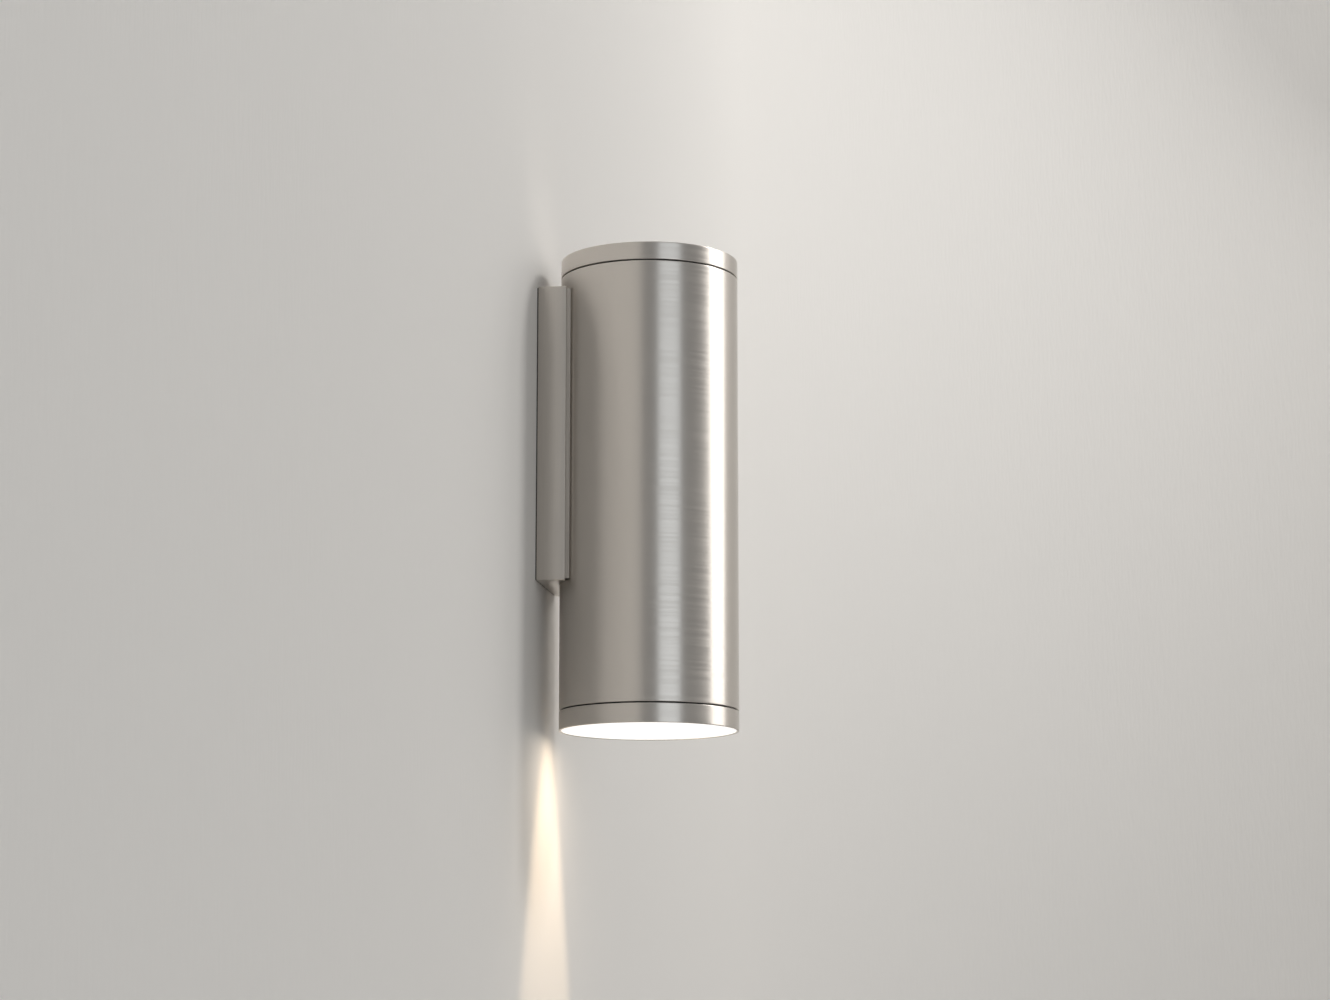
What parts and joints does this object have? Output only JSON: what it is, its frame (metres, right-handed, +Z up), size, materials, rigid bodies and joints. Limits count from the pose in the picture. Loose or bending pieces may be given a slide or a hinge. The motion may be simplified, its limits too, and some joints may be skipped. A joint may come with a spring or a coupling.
{
  "type": "tube wall light",
  "caption": "Round brushed steel wall light with one lamp shining down through a flush opal lens, on a slim bracket that wraps the back of the tube.",
  "frame": {"origin": "centre of the bracket on the wall plane", "axes": "+X to the right seen from the room, +Y into the wall, +Z up along the tube"},
  "size_m": [0.06, 0.0655, 0.16],
  "materials": {
    "brushed_steel": "brushed round the tube, along the bracket",
    "black_rubber": "moulded, matt",
    "opal_lens": "opal, lit evenly",
    "zinc_steel": "zinc plated",
    "stainless_screw": "turned",
    "brass": "machined",
    "white_ceramic": "unglazed",
    "lamp_white": "moulded",
    "lamp_lens": "prismatic",
    "board": "white solder mask",
    "natural_polyamide": "moulded",
    "brown_insulation": "extruded",
    "blue_insulation": "extruded",
    "green_yellow_insulation": "extruded, striped"
  },
  "bodies": {
    "wall_mount": {"wall_plate": "zinc_steel", "cable_grommet": "black_rubber", "plate_earth_screw": "brass", "plate_earth_washer": "brass"},
    "luminaire": {"bracket_cover": "brushed_steel", "saddle_block": "brushed_steel", "wall_gasket": "black_rubber", "locking_screws": "stainless_screw", "saddle_screws": "stainless_screw", "saddle_nuts": "stainless_screw", "body_tube": "brushed_steel", "top_cap": "brushed_steel", "cap_seal": "black_rubber", "lamp_bracket": "zinc_steel", "terminal_bracket": "zinc_steel", "holder_face": "white_ceramic", "holder_body": "white_ceramic", "holder_contacts": "brass", "holder_screws": "stainless_screw", "terminal_block": "natural_polyamide", "terminal_clamps": "brass", "clamp_screws": "stainless_screw", "block_screws": "stainless_screw", "live_lead": "brown_insulation", "neutral_lead": "blue_insulation", "earth_lead": "green_yellow_insulation", "earth_tag": "brass", "earth_tag_screw": "brass"},
    "lamp": {"lamp_body": "lamp_white", "lamp_lens": "lamp_lens", "lamp_board": "board", "lamp_base": "lamp_white", "lamp_pins": "brass"},
    "bezel_lift": {"bezel_seal": "black_rubber"},
    "bezel_ring": {"bezel": "brushed_steel", "lens": "opal_lens", "lens_gasket": "black_rubber"}
  },
  "joints": [
    {"name": "luminaire_lift_off", "type": "slide", "parent": "wall_mount", "child": "luminaire", "axis": [0, -1, 0], "range_m": [0, 0.015]},
    {"name": "lamp_twist", "type": "hinge", "parent": "luminaire", "child": "lamp", "pos_m": [0, -0.0355, 0], "axis": [0, 0, -1], "range_deg": [0, 45]},
    {"name": "bezel_drop", "type": "slide", "parent": "luminaire", "child": "bezel_lift", "axis": [0, 0, -1], "range_m": [0, 0.0045]},
    {"name": "bezel_turn", "type": "hinge", "parent": "bezel_lift", "child": "bezel_ring", "pos_m": [0, -0.0355, 0], "axis": [0, 0, -1], "range_deg": [0, 1080]}
  ],
  "couplings": [
    {"joint": "bezel_turn", "follows": "bezel_drop", "rad_per_m": 4188.8}
  ]
}
